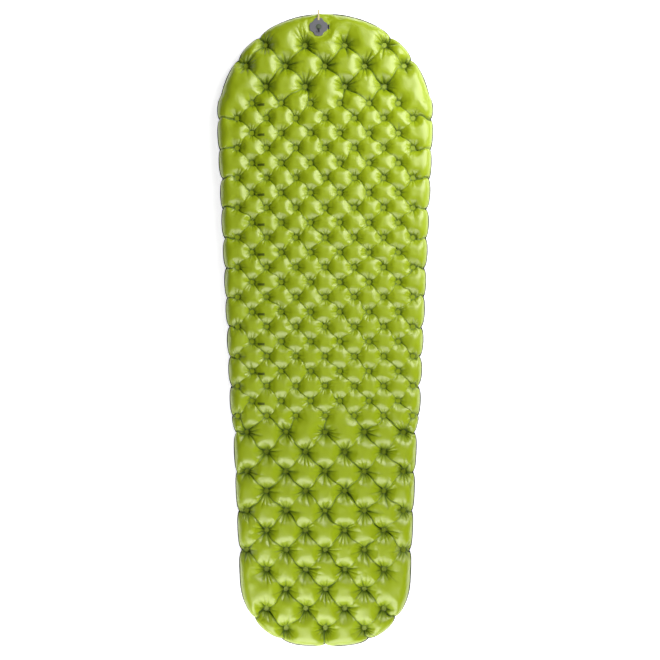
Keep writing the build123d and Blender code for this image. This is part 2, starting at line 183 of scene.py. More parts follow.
class Rim:
    """Nearest place on the rim of the air cells, for many points at once."""

    def __init__(self, seed=11):
        loop = PLAN.rim
        ahead = np.roll(loop, -4, 0) - np.roll(loop, 4, 0)
        normal = np.column_stack([ahead[:, 1], -ahead[:, 0]])
        self.normal = normal / np.hypot(*normal.T)[:, None]
        torso = PLAN.spots[PLAN.in_torso][:, 1]
        beside = smooth((loop[:, 1] - torso.min() + SWELL_FADE) / SWELL_FADE)
        beside *= smooth((torso.max() + SWELL_FADE - loop[:, 1]) / SWELL_FADE)
        self.loop = loop - self.normal * (RIM_INSET - TORSO_SWELL * beside)[:, None]
        self.tree = KDTree(len(loop))
        for i, p in enumerate(self.loop):
            self.tree.insert((p[0], p[1], 0), i)
        self.tree.balance()
        self.notch = self.notches(np.random.default_rng(seed))

    def near(self, points):
        """Distance inside the cell rim, outward normal and place along the rim."""
        index = np.fromiter((self.tree.find((x, y, 0))[1] for x, y in points), int, len(points))
        normal = self.normal[index]
        inside = ((self.loop[index] - points) * normal).sum(1)
        return inside, normal, index

    def notches(self, rng):
        """How far the rim is drawn in at each of its points, by the welds next to it."""
        inside, _, place = self.near(PLAN.spots)
        step = np.hypot(*np.diff(self.loop, axis=0).T).mean()
        count = len(self.loop)
        drawn = np.zeros(count)
        for i in np.flatnonzero(inside < OUTER_WELD):
            away = np.abs(np.arange(count) - place[i])
            away = np.minimum(away, count - away) * step
            depth = NOTCH_DEPTH * rng.uniform(0.6, 1.15)
            drawn = np.maximum(drawn, depth * np.exp(-away / NOTCH_WIDTH))
        return drawn


RIM = Rim()


def base_height(inside):
    """Height above the middle of the unquilted form, at a distance in from the cell rim."""
    return np.interp(inside, SIDE_IN, SIDE_UP)


def crater_depths():
    """How far each weld pulls the cover below the unquilted form."""
    inside, _, _ = RIM.near(PLAN.spots)
    return PLAN.middle + base_height(inside) - (PLAN.levels - BELOW_DISC)


SPOT_DEPTH = crater_depths()
SPOT_REACH = np.where(PLAN.in_torso, TORSO_CRATER, SINGLE_CRATER)
SPOT_STEEP = np.where(PLAN.in_torso, TORSO_STEEP, SINGLE_STEEP)


def past_skirt(plan):
    """Distance of each place from the edge of the valve's skirt, negative on the skirt."""
    return np.hypot(*(plan - PLAN.valve).T) - PLAN.skirt_radius


def nearest_spots(points, count=3, chunk=40000):
    """Index and distance of the nearest welds to each point, nearest first."""
    index = np.empty((len(points), count), int)
    for start in range(0, len(points), chunk):
        part = points[start:start + chunk]
        gap = np.hypot(part[:, None, 0] - PLAN.spots[None, :, 0],
                       part[:, None, 1] - PLAN.spots[None, :, 1])
        index[start:start + chunk] = np.argpartition(gap, count, axis=1)[:, :count]
    away = np.hypot(*(points[:, None] - PLAN.spots[index]).transpose(2, 0, 1))
    order = np.argsort(away, axis=1)
    return np.take_along_axis(index, order, 1), np.take_along_axis(away, order, 1)


# ----------------------------------------------------------------------------------
# Creases from weld to weld, and gathers round each weld
# ----------------------------------------------------------------------------------

TORSO_LINK = 0.060          # torso welds nearer than this to each other share a crease
SINGLE_LINK = 0.080
LEVEL_ROW = 0.01            # welds this nearly side by side share none
MOST_CREASES = 8            # at one weld
CREASE_BOW = 0.0036         # how far a crease curves aside
CREASE_WIGGLE = 0.0009
CREASE_LEAN = 0.75          # share by which a crease is deeper at one end
CREASE_END = 0.008          # creases fade in over this length from a weld
VALLEY_DEPTH = 0.0036       # broad valley between two air cells
VALLEY_REACH = 0.021
VALLEY_POWER = 2.1
FOLD_DEPTH = 0.0021         # sharp fold at the bottom of the valley
FOLD_REACH = 0.0030
FOLD_POWER = 1.15
SINGLE_SCALE = 1.35         # creases of the large cells are this much wider and deeper
SIDE_SCALE = 1.6            # and those that run out to the rim by this much
GATHER_HEIGHT = 0.0030      # of the puckers round a weld
UNDERSIDE_GATHER = 0.6      # share of that height on the bottom cover
GATHER_START = 0.0022       # they rise over this length from the pressed disc
TORSO_GATHER = 0.0100       # and run this far out
SINGLE_GATHER = 0.0190
GATHER_UNEVEN = 0.35        # share by which some gathers run longer than others
GATHER_TWIST = 0.22         # how unevenly they stand round the weld
DENT_HEIGHT = 0.00016       # shallow uneven dents all over the cloth
DENT_COUNT = 12
DENT_LENGTHS = 0.020, 0.055
FREE_OF_RIM = 0.004         # detail fades in over this length from the rim
FREE_OF_VALVE = 0.008       # and from the valve's skirt
# Painted shade: the cloth's colour is darkened along folds, between gathers and round each weld,
# standing in for the shade there
FOLD_SHADE = 0.0014         # half width of the painted shade line at the bottom of a fold
TORSO_PIT_SHADE = 0.0045          # how far out from a weld the painted shade reaches
SINGLE_PIT_SHADE = 0.0100
# how strongly painted shade darkens folds, the hollows between gathers and the cloth round a weld
FOLD_PAINTED_SHADE = 0.8
GATHER_PAINTED_SHADE = 1.2
PIT_PAINTED_SHADE = 0.7


class Creases:
    """Fold lines from weld to weld, and from the outer welds out to the rim."""

    def __init__(self, seed=5):
        rng = np.random.default_rng(seed)
        spots = PLAN.spots
        self.lines = []
        self.at_spot = [[] for _ in spots]
        link = np.where(PLAN.in_torso, TORSO_LINK, SINGLE_LINK)
        for i, first in enumerate(spots):
            for j in range(i + 1, len(spots)):
                run = spots[j] - first
                level = abs(run[1]) < LEVEL_ROW
                if level or np.hypot(*run) > max(link[i], link[j]):
                    continue
                scale = 1.0 if PLAN.in_torso[i] and PLAN.in_torso[j] else SINGLE_SCALE
                falling = run[0] * run[1] < 0
                depth = rng.uniform(0.8, 1.2) if falling else rng.uniform(0.35, 0.9)
                self.add(first, spots[j], (i, j), depth, scale, rng)
        inside, normal, _ = RIM.near(spots)
        for i in np.flatnonzero(inside < OUTER_WELD):
            end = spots[i] + normal[i] * inside[i]
            self.add(spots[i], end, (i,), rng.uniform(0.8, 1.2), SIDE_SCALE, rng)
        columns = list(zip(*self.lines))
        self.start, self.end, self.depth, self.scale, self.bow = map(np.array, columns)
        self.lean = rng.uniform(-CREASE_LEAN, CREASE_LEAN, len(self.lines))
        self.phase = rng.uniform(0, 2 * math.pi, len(self.lines))
        self.table = np.full((len(spots), MOST_CREASES), -1)
        for i, held in enumerate(self.at_spot):
            self.table[i, :len(held[:MOST_CREASES])] = held[:MOST_CREASES]

    def add(self, start, end, spots, depth, scale, rng):
        """One crease, noted at each weld that it meets."""
        for i in spots:
            self.at_spot[i].append(len(self.lines))
        bow = rng.uniform(-CREASE_BOW, CREASE_BOW, 2)
        self.lines.append((start, end, depth * scale, scale, bow))

    def groove(self, plan, nearest, reach, power):
        """Share of full depth at each point, from the creases that meet at its nearest weld."""
        deepest = np.zeros(len(plan))
        for k in range(MOST_CREASES):
            crease = self.table[nearest, k]
            ok = crease >= 0
            c = crease[ok]
            run = self.end[c] - self.start[c]
            length = np.hypot(*run.T)
            offset = plan[ok] - self.start[c]
            along = np.clip((offset * run).sum(1) / length ** 2, 0, 1)
            across = (offset[:, 0] * run[:, 1] - offset[:, 1] * run[:, 0]) / length
            bow = (self.bow[c, 0] * np.sin(math.pi * along)
                   + self.bow[c, 1] * np.sin(2 * math.pi * along))
            bow += CREASE_WIGGLE * np.sin(7 * along + self.phase[c]) * np.sin(math.pi * along)
            gap = np.abs(across - bow)
            ends = smooth(along * length / CREASE_END) * smooth((1 - along) * length / CREASE_END)
            ends *= 1 + self.lean[c] * (2 * along - 1)
            share = np.clip(1 - gap / (reach * self.scale[c]), 0, 1) ** power
            deepest[ok] = np.maximum(deepest[ok], self.depth[c] * ends * share)
        return deepest


CREASES = Creases()


def gathers(plan, index, away, seed=6):
    """Small radial puckers of the cloth round each weld: sharp folds with round ridges."""
    rng = np.random.default_rng(seed)
    count = len(PLAN.spots)
    folds = rng.integers(9, 14, count)
    few = rng.integers(4, 7, count)
    phase = rng.uniform(0, 2 * math.pi, (count, 3))
    length = np.where(PLAN.in_torso, TORSO_GATHER, SINGLE_GATHER) * rng.uniform(0.85, 1.2, count)
    height = np.where(PLAN.in_torso, 0.75, 1.25)
    offset = plan - PLAN.spots[index]
    angle = np.arctan2(offset[:, 1], offset[:, 0])
    reach = length[index] * (1 + GATHER_UNEVEN * np.sin(3 * angle + phase[index, 2]))
    angle = angle + GATHER_TWIST * np.sin(2 * angle + phase[index, 0])
    wave = 0.6 - np.abs(np.sin(folds[index] * angle / 2 + phase[index, 0])) ** 0.8
    wave += 0.5 * (0.6 - np.abs(np.sin(few[index] * angle / 2 + phase[index, 1])) ** 0.8)
    wave *= 0.75 + 0.25 * np.sin(2 * angle + phase[index, 2])
    out = away - PIN_RADIUS
    return -wave * height[index] * smooth(out / GATHER_START) * np.exp(-(out / reach) ** 2)


def dents(plan, seed=8):
    """Shallow unevenness of the cloth: waves of several lengths, each in its own direction."""
    rng = np.random.default_rng(seed)
    total = np.zeros(len(plan))
    for _ in range(DENT_COUNT):
        turn, start = rng.uniform(0, 2 * math.pi, 2)
        length = rng.uniform(*DENT_LENGTHS)
        along = plan[:, 0] * math.cos(turn) + plan[:, 1] * math.sin(turn)
        total += length / DENT_LENGTHS[1] * np.sin(2 * math.pi * along / length + start)
    return total


def quilted_form(flat, run, over_valve=True):
    """Start shape of the cover: the flat cut rounded down at its side and drawn in at welds."""
    inside, normal, place = RIM.near(flat)
    drawn_in = np.where(run < SIDE_RUN[-1], np.interp(run, SIDE_RUN, SIDE_IN), run - SPARE)
    plan = flat - normal * (drawn_in - inside)[:, None]
    height = np.interp(run, SIDE_RUN, SIDE_UP)
    index, away = nearest_spots(plan)
    depth, reach = SPOT_DEPTH[index], SPOT_REACH[index]
    near = np.clip((away - PIN_RADIUS) / (reach - PIN_RADIUS), 0, 1)
    pull = depth * (1 - near) ** SPOT_STEEP[index]
    pull[:, 1:] *= smooth((away[:, :1] - PIN_RADIUS) / CRATER_MERGE)
    valley = VALLEY_DEPTH * CREASES.groove(plan, index[:, 0], VALLEY_REACH, VALLEY_POWER)
    valley *= smooth((away[:, 0] - PIN_RADIUS) / CRATER_MERGE) * smooth(height / PLAN.half * 1.5)
    form = PLAN.middle + np.maximum(height - pull.sum(1) - valley, np.minimum(height, LOWEST_RISE))
    notch = RIM.notch[place] * smooth(1 - run / NOTCH_FADE)
    plan = plan - normal * notch[:, None]
    if over_valve:
        free = smooth(past_skirt(plan) / VALVE_BLEND)
        form = form * free + (PLAN.skirt_level + COVER_ON_SKIRT) * (1 - free)
    return np.column_stack([plan, form])


# ----------------------------------------------------------------------------------
# Making the covers
# ----------------------------------------------------------------------------------

def read_points(mesh):
    points = np.empty(len(mesh.vertices) * 3, np.float32)
    mesh.vertices.foreach_get("co", points)
    return points.reshape(-1, 3).astype(float)


def write_points(mesh, points):
    mesh.vertices.foreach_set("co", np.ascontiguousarray(points, np.float32).ravel())
    mesh.update()


def new_piece(name, bm):
    mesh = bpy.data.meshes.new(name)
    bm.to_mesh(mesh)
    bm.free()
    piece = bpy.data.objects.new(name, mesh)
    bpy.context.scene.collection.objects.link(piece)
    return piece


def width_table():
    """Places along the pad and the outline's half width there, kept wide past both ends."""
    right = PLAN.rim[PLAN.rim[:, 0] > 0]
    right = right[np.argsort(right[:, 1])]
    beyond, wide = 0.05, 0.3
    along = np.r_[right[0, 1] - beyond, right[:, 1], right[-1, 1] + beyond]
    return along, np.r_[wide, right[:, 0], wide]


def flat_cut(step):
    """The cover's flat cut: a square weave on the bias, trimmed to the outline."""
    reach = np.abs(PLAN.rim).max(0) + SPARE
    side = (reach[0] + reach[1]) * math.sqrt(2)
    count = int(side / step)
    bm = bmesh.new()
    bmesh.ops.create_grid(bm, x_segments=count, y_segments=count, size=side / 2)
    turn = Matrix.Rotation(math.radians(45), 3, "Z")
    bmesh.ops.rotate(bm, verts=bm.verts, cent=(0, 0, 0), matrix=turn)
    places = np.array([v.co.xy for v in bm.verts])
    half_width = np.interp(places[:, 1], *width_table())
    possible = np.abs(places[:, 0]) < half_width + SPARE + step
    run = np.full(len(places), -1.0)
    run[possible] = RIM.near(places[possible])[0] + SPARE
    outside = [v for v, r in zip(bm.verts, run) if r < 0.45 * step]
    bmesh.ops.delete(bm, geom=outside, context="VERTS")
    loose = [v for v in bm.verts if not v.link_faces]
    bmesh.ops.delete(bm, geom=loose, context="VERTS")
    edge = [v for v in bm.verts if v.is_boundary]
    inside, normal, _ = RIM.near(np.array([v.co.xy for v in edge]))
    for v, d, n in zip(edge, inside + SPARE, normal):
        v.co.x += n[0] * d
        v.co.y += n[1] * d
    bmesh.ops.remove_doubles(bm, verts=edge, dist=0.35 * step)
    return bm


def inflate(piece, held, settings):
    """Blow the cover up between its held points, and keep the result in the mesh."""
    group = piece.vertex_groups.new(name="held")
    group.add([int(i) for i in np.flatnonzero(held)], 1.0, "REPLACE")
    cloth = piece.modifiers.new("inflate", "CLOTH")
    s = cloth.settings
    s.quality = 4
    s.mass = 0.1
    s.tension_stiffness = s.compression_stiffness = 40
    s.shear_stiffness = 15
    s.bending_stiffness = 0.05
    s.tension_damping = s.compression_damping = s.shear_damping = 8
    s.bending_damping = 0.5
    s.air_damping = 4
    s.vertex_group_mass = group.name
    s.pin_stiffness = 1
    s.shrink_min = -settings.growth
    s.use_pressure = True
    s.uniform_pressure_force = settings.pressure
    s.effector_weights.gravity = 0
    cloth.collision_settings.use_collision = False
    cloth.point_cache.frame_start = 1
    cloth.point_cache.frame_end = settings.frames
    for f in range(1, settings.frames + 1):
        bpy.context.scene.frame_set(f)
    keep_result(piece)
    bpy.context.scene.frame_set(1)


def keep_result(piece):
    """Replace a piece's mesh by its modified shape and drop the modifiers."""
    shape = piece.evaluated_get(bpy.context.evaluated_depsgraph_get())
    mesh = bpy.data.meshes.new_from_object(shape)
    old = piece.data
    piece.modifiers.clear()
    piece.vertex_groups.clear()
    piece.data = mesh
    bpy.data.meshes.remove(old)
    mesh.name = piece.name


def read_normals(mesh):
    normals = np.empty(len(mesh.vertices) * 3, np.float32)
    mesh.vertices.foreach_get("normal", normals)
    return normals.reshape(-1, 3)


def painted_shade_amount(plan, index, away, pucker):
    """Painted shade of the cloth at each point: how far its colour is darkened in folds, between
    gathers and next to a weld.
    """
    line = CREASES.groove(plan, index, FOLD_SHADE, 1.0) * FOLD_PAINTED_SHADE
    pit = np.where(PLAN.in_torso, TORSO_PIT_SHADE, SINGLE_PIT_SHADE)[index]
    ring = np.exp(-(np.maximum(away - PIN_RADIUS, 0) / pit) ** 2) * PIT_PAINTED_SHADE
    return line + np.clip(-pucker, 0, 1) * GATHER_PAINTED_SHADE + ring


def press_detail(piece, gather_height, avoid_valve):
    """Press the sharp folds and the gathers into a cover, along its surface normals."""
    mesh = piece.data
    points = read_points(mesh)
    plan = points[:, :2]
    index, away = nearest_spots(plan, 1)
    index, away = index[:, 0], away[:, 0]
    pucker = gathers(plan, index, away)
    push = gather_height * pucker + DENT_HEIGHT * dents(plan)
    push -= FOLD_DEPTH * CREASES.groove(plan, index, FOLD_REACH, FOLD_POWER)
    free = smooth(RIM.near(plan)[0] / FREE_OF_RIM)
    past_flat = past_skirt(plan) - SKIRT_EDGE
    if avoid_valve:
        free *= smooth(past_flat / FREE_OF_VALVE)
    push *= free
    # painted shade, stored on the points for the material to darken the cloth's colour
    shade = painted_shade_amount(plan, index, away, pucker)
    painted_shade = mesh.attributes.new("painted_shade", "FLOAT", "POINT")
    painted_shade.data.foreach_set("value", np.clip(shade * free, 0, 1).astype(np.float32))
    pressed = points + read_normals(mesh) * push[:, None]
    side = np.sign(points[:, 2].mean() - PLAN.middle)
    rise = side * (pressed[:, 2] - PLAN.middle)
    allowed = np.minimum(side * (points[:, 2] - PLAN.middle), LOWEST_RISE)
    pressed[:, 2] = PLAN.middle + side * np.maximum(rise, allowed)
    on_disc = 1 - smooth((away - PIN_RADIUS) / WELD_BLEND)
    disc = PLAN.middle + side * (PLAN.levels[index] - BELOW_DISC - PLAN.middle)
    pressed[:, 2] += (disc - pressed[:, 2]) * on_disc
    if avoid_valve:
        on_skirt = 1 - smooth(past_flat / SKIRT_FALL)
        pressed[:, 2] += (PLAN.skirt_level + COVER_ON_SKIRT - pressed[:, 2]) * on_skirt
    pressed[:, 2] = np.maximum(pressed[:, 2], CAD_BOX[0][2])
    write_points(mesh, pressed)


def cut_valve_hole(piece):
    """Open the cover round the valve's seat."""
    bm = bmesh.new()
    bm.from_mesh(piece.data)
    centre = Vector(PLAN.valve)
    inner = [v for v in bm.verts if (v.co.xy - centre).length < VALVE_HOLE]
    bmesh.ops.delete(bm, geom=inner, context="VERTS")
    edge = [v for v in bm.verts
            if v.is_boundary and (v.co.xy - centre).length < 1.5 * VALVE_HOLE]
    for v in edge:
        v.co.xy = centre + (v.co.xy - centre).normalized() * VALVE_HOLE
    bm.to_mesh(piece.data)
    bm.free()


def inflated_covers(settings):
    """Top cover blown up between its welds, and the bottom cover as its mirror image."""
    top = new_piece("top_cover", flat_cut(settings.weave_step))
    flat = read_points(top.data)[:, :2]
    run = RIM.near(flat)[0] + SPARE
    write_points(top.data, quilted_form(flat, run))
    plan = read_points(top.data)[:, :2]
    away = nearest_spots(plan, 1)[1][:, 0]
    on_skirt = past_skirt(plan) < SKIRT_EDGE
    inflate(top, (away < PIN_RADIUS) | on_skirt | (run < 1e-4), settings)
    bottom = bpy.data.objects.new("bottom_cover", top.data.copy())
    bpy.context.scene.collection.objects.link(bottom)
    points = read_points(bottom.data)
    plain = quilted_form(flat, run, over_valve=False)
    clear = smooth(past_skirt(points[:, :2]) / VALVE_BLEND)
    height = points[:, 2] * clear + plain[:, 2] * (1 - clear)
    points[:, 2] = np.maximum(2 * PLAN.middle - height, CAD_BOX[0][2])
    write_points(bottom.data, points)
    bottom.data.flip_normals()
    return top, bottom


# ----------------------------------------------------------------------------------
# Settings
# ----------------------------------------------------------------------------------

class CoverSettings(bpy.types.PropertyGroup):
    weave_step: bpy.props.FloatProperty(
        name="Cloth step", description="Spacing of the simulated cloth's points",
        default=0.0046, min=0.001, unit="LENGTH")
    frames: bpy.props.IntProperty(
        name="Frames", description="How long the cover is blown up", default=20, min=1)
    growth: bpy.props.FloatProperty(
        name="Spare cloth", description="Share by which the cloth is larger than its form",
        default=0.012, min=0, subtype="FACTOR")
    pressure: bpy.props.FloatProperty(
        name="Pressure", description="Air pressure under the cover", default=6.0, min=0)
    lime: bpy.props.FloatVectorProperty(
        name="Top colour", description="Dye of the upper fabric",
        default=(0.37, 0.49, 0.002), size=3, min=0, max=1, subtype="COLOR")
    # painted shade: the upper fabric's colour in the most shaded folds, hollows between gathers and
    # round welds
    painted_shade_colour: bpy.props.FloatVectorProperty(
        name="Fold colour", description="Upper fabric at the bottom of a tight fold",
        default=(0.045, 0.105, 0.001), size=3, min=0, max=1, subtype="COLOR")
    charcoal: bpy.props.FloatVectorProperty(
        name="Underside colour", description="Dye of the lower fabric",
        default=(0.022, 0.025, 0.028), size=3, min=0, max=1, subtype="COLOR")
    print_colour: bpy.props.FloatVectorProperty(
        name="Print colour", description="Ink of the plain marks on the top",
        default=(0.02, 0.035, 0.004), size=3, min=0, max=1, subtype="COLOR")


class SeamSettings(bpy.types.PropertyGroup):
    width: bpy.props.FloatProperty(
        name="Width", description="How far the welded flange stands out from the cells",
        default=0.0021, min=0, unit="LENGTH")
    thickness: bpy.props.FloatProperty(
        name="Thickness", description="Both fabrics welded together",
        default=0.0011, min=0, unit="LENGTH")
    ripple: bpy.props.FloatProperty(
        name="Ripple", description="How far the limp flange waves up and down",
        default=0.0012, min=0, unit="LENGTH")


class StudioSettings(bpy.types.PropertyGroup):
    distance: bpy.props.FloatProperty(
        name="Camera distance", description="From the camera to the middle of the pad",
        default=2.6, unit="LENGTH")
    tilt: bpy.props.FloatProperty(
        name="Camera tilt", description="How far the camera leans over the head end",
        default=math.radians(0.8), subtype="ANGLE")
    lens: bpy.props.FloatProperty(
        name="Lens", description="Focal length in millimetres", default=54.2)
    sideways: bpy.props.FloatProperty(
        name="Camera sideways", description="Camera's place across the pad",
        default=0.0125, unit="LENGTH")
    lengthways: bpy.props.FloatProperty(
        name="Camera lengthways", description="Place along the pad that the camera looks at",
        default=0.003, unit="LENGTH")


# ----------------------------------------------------------------------------------
# Materials
# ----------------------------------------------------------------------------------

class Wire:
    """A shader socket that takes part in arithmetic; each operation adds a Math node."""

    def __init__(self, tree, socket):
        self.tree, self.socket = tree, socket

    def math(self, operation, *values):
        node = self.tree.nodes.new("ShaderNodeMath")
        node.operation = operation
        for slot, value in zip(node.inputs, values):
            if isinstance(value, Wire):
                self.tree.links.new(value.socket, slot)
            else:
                slot.default_value = value
        return Wire(self.tree, node.outputs[0])

    def __add__(self, other):
        return self.math("ADD", self, other)

    def __sub__(self, other):
        return self.math("SUBTRACT", self, other)

    def __rsub__(self, other):
        return self.math("SUBTRACT", other, self)

    def __mul__(self, other):
        return self.math("MULTIPLY", self, other)

    def __lt__(self, other):
        return self.math("LESS_THAN", self, other)

    def __gt__(self, other):
        return self.math("GREATER_THAN", self, other)

    def __abs__(self):
        return self.math("ABSOLUTE", self)

    __radd__, __rmul__ = __add__, __mul__


class Finish:
    """A material round one Principled shader, with helpers that add its nodes."""

    def __init__(self, name, **constants):
        self.material = bpy.data.materials.new(name)
        self.material.use_nodes = True
        self.tree = self.material.node_tree
        self.shader = self.tree.nodes["Principled BSDF"]
        self.set(**constants)

    def set(self, **values):
        """Put constants or links into the shader's sockets, named with _ for a space."""
        for key, value in values.items():
            self.put(self.shader.inputs[key.replace("_", " ")], value)

    def put(self, slot, value):
        """Link a wire to a socket, or set the socket's own value."""
        if isinstance(value, Wire):
            self.tree.links.new(value.socket, slot)
        elif slot.type == "RGBA":
            slot.default_value = (*value[:3], 1)
        else:
            slot.default_value = value

    def node(self, kind, settings=None, values=None, out=0):
        """Add a node: its settings first, then the values or links of its sockets."""
        node = self.tree.nodes.new("ShaderNode" + kind)
        for key, value in (settings or {}).items():
            setattr(node, key, value)
        for key, value in (values or {}).items():
            self.put(node.inputs[key], value)
        return Wire(self.tree, node.outputs[out])

    def place(self):
        """The point's place in the pad's own frame."""
        return self.node("TexCoord", out="Object")

    def axes(self):
        """That place's x, y and z."""
        split = self.tree.nodes.new("ShaderNodeSeparateXYZ")
        self.put(split.inputs[0], self.place())
        return [Wire(self.tree, output) for output in split.outputs]

    def noise(self, scale, detail=2.0, roughness=0.5):
        return self.node("TexNoise", None, {
            "Vector": self.place(), "Scale": scale, "Detail": detail, "Roughness": roughness})

    def blend(self, factor, first, second):
        """Mix two colours."""
        return self.node("Mix", {"data_type": "RGBA"}, {0: factor, 6: first, 7: second}, out=2)

    def bump(self, height, strength, distance):
        values = {"Height": height, "Strength": strength, "Distance": distance}
        return self.node("Bump", None, values)


def give(obj, finish):
    """Put one material in every slot of a piece or CAD node."""
    if not obj.data.materials:
        obj.data.materials.append(finish.material)
    for slot in obj.material_slots:
        slot.material = finish.material


def darker(colour, share):
    """The same hue at a share of its brightness."""
    return tuple(c * share for c in colour[:3])


THREAD_PITCH = 0.0007
RIPSTOP_PITCH = 0.0050      # one heavier thread at each of these
RIPSTOP_THREAD = 0.0002     # half width of a heavier thread
MARK_X = -0.166             # printed marks stand in a column left of the middle
MARK_COUNT = 11
MARK_PITCH = 0.0772         # one mark for every second row of torso welds
MARK_FIRST = 0.5845
MARK_LENGTH = 0.0095        # half length across the pad
MARK_BREADTH = 0.0032       # half length along it
PAINTED_SHADE_MIX = 0.82             # how much of the painted shade colour the most shaded places take
FOLD_ROUGHNESS = 0.25       # folded cloth shines less


def weave(f, strength):
    """Bump of a plain weave with the heavier threads of a ripstop grid."""
    x, y, _ = f.axes()
    threads = 1 / THREAD_PITCH / 2 / math.pi
    warp, weft = (f.node("TexWave", {"wave_type": "BANDS", "bands_direction": way},
                         {"Vector": f.place(), "Scale": threads, "Distortion": 0.4})
                  for way in ("X", "Y"))
    grid_x = x.math("PINGPONG", x, RIPSTOP_PITCH / 2) < RIPSTOP_THREAD
    grid_y = y.math("PINGPONG", y, RIPSTOP_PITCH / 2) < RIPSTOP_THREAD
    height = warp * 0.5 + weft * 0.5 + grid_x.math("MAXIMUM", grid_x, grid_y) * 0.6
    return f.bump(height, strength, 0.0001)


def lime_fabric(settings):
    """Laminated lime nylon with a soft satin shine, plain printed marks, and painted shade in its
    folds, between gathers and round welds.
    """
    f = Finish("lime_ripstop", Specular_IOR_Level=0.95, Specular_Tint=(1.0, 1.0, 0.88))
    x, y, _ = f.axes()
    lime = tuple(settings.lime)
    cloth = f.blend(f.noise(6.0), darker(lime, 0.90), lime)
    # painted shade: the cloth's colour is blended toward the painted shade colour in folds, between
    # gathers and round welds; the same attribute also raises the roughness there
    painted_shade = f.node("Attribute", {"attribute_name": "painted_shade"}, out="Fac")
    cloth = f.blend(painted_shade * PAINTED_SHADE_MIX, cloth, settings.painted_shade_colour)
    column = abs(x - MARK_X) < MARK_LENGTH
    steps = y - (MARK_FIRST - MARK_PITCH / 2)
    row = y.math("PINGPONG", y - MARK_FIRST, MARK_PITCH / 2) < MARK_BREADTH
    last = MARK_FIRST - MARK_PITCH * (MARK_COUNT - 1)
    ends = (y > last - MARK_PITCH / 2) * (steps < MARK_PITCH)
    printed = column * row * ends * 0.8
    f.set(Base_Color=f.blend(printed, cloth, tuple(settings.print_colour)),
          Roughness=f.noise(14.0) * 0.10 + painted_shade * FOLD_ROUGHNESS + 0.32,
          Normal=weave(f, 0.25))
    return f


def charcoal_fabric(name, colour):
    """Dull dark nylon, as on the underside and the welded rim."""
    f = Finish(name, Specular_IOR_Level=0.4, Sheen_Weight=0.2, Sheen_Roughness=0.5)
    f.set(Base_Color=f.blend(f.noise(8.0), darker(colour, 0.8), tuple(colour)),
          Roughness=f.noise(14.0) * 0.12 + 0.46,
          Normal=weave(f, 0.35))
    return f


def weld_spots(settings):
    """Spot welds: lime on the top, charcoal below, with the ribbed print of the press."""
    f = Finish("weld_spots", Specular_IOR_Level=0.5)
    x, y, z = f.axes()
    lime = f.blend(f.noise(40.0), darker(settings.lime, 0.8), darker(settings.lime, 0.95))
    ribs = f.node("TexWave", {"wave_type": "BANDS", "bands_direction": "DIAGONAL"},
                  {"Vector": f.place(), "Scale": 110.0})
    f.set(Base_Color=f.blend(z > PLAN.middle, tuple(settings.charcoal), lime),
          Roughness=f.noise(60.0) * 0.1 + 0.32,
          Normal=f.bump(ribs, 0.25, 0.0002))
    return f


def moulded(name, colour, roughness, grain=900.0, strength=0.12, **constants):
    """Moulded plastic or rubber: fine grain, slight mottling and rubbed patches."""
    f = Finish(name, **constants)
    f.set(Base_Color=f.blend(f.noise(70.0, 3.0), darker(colour, 0.86), colour),
          Roughness=f.noise(45.0, 3.0) * 0.14 + (roughness - 0.07),
          Normal=f.bump(f.noise(grain, 3.0), strength, 0.0001))
    return f


def crinkled_film():
    """Silver film with fine crinkles."""
    f = Finish("silver_film", Metallic=1.0)
    crinkle = f.node("TexVoronoi", {"feature": "DISTANCE_TO_EDGE"},
                     {"Vector": f.place(), "Scale": 55.0})
    f.set(Base_Color=f.blend(f.noise(20.0), (0.72, 0.73, 0.74), (0.86, 0.87, 0.88)),
          Roughness=f.noise(30.0) * 0.15 + 0.2,
          Normal=f.bump(crinkle, 0.5, 0.001))
    return f


def batting():
    """White spun filling."""
    f = Finish("white_batting")
    fluff = f.noise(320.0, 6.0, 0.7)
    f.set(Base_Color=f.blend(fluff, (0.72, 0.72, 0.70), (0.92, 0.92, 0.90)),
          Roughness=f.noise(80.0) * 0.1 + 0.85,
          Normal=f.bump(fluff, 0.8, 0.001))
    return f


# ----------------------------------------------------------------------------------
# Operators
# ----------------------------------------------------------------------------------

class PAD_OT_covers(bpy.types.Operator):
    """Make the quilted top and bottom covers"""
    bl_idname = "air_mat.covers"
    bl_label = "Covers"

    def execute(self, context):
        settings = context.scene.air_mat_covers
        top, bottom = inflated_covers(settings)
        for piece, levels in ((top, 2), (bottom, 1)):
            finer = piece.modifiers.new("finer", "SUBSURF")
            finer.levels = finer.render_levels = levels
            keep_result(piece)
        press_detail(top, GATHER_HEIGHT, avoid_valve=True)
        press_detail(bottom, GATHER_HEIGHT * UNDERSIDE_GATHER, avoid_valve=False)
        cut_valve_hole(top)
        give(top, lime_fabric(settings))
        give(bottom, charcoal_fabric("charcoal_fabric", settings.charcoal))
        for piece, node, slot in ((top, "top_sheet", "top_fabric"),
                                  (bottom, "bottom_sheet", "underside_fabric")):
            piece.data.shade_smooth()
            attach(piece, MAIN_BODY)
            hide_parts(node)
        return {"FINISHED"}


SEAM_TUCK = 0.002           # the flange starts this far under the covers' edge


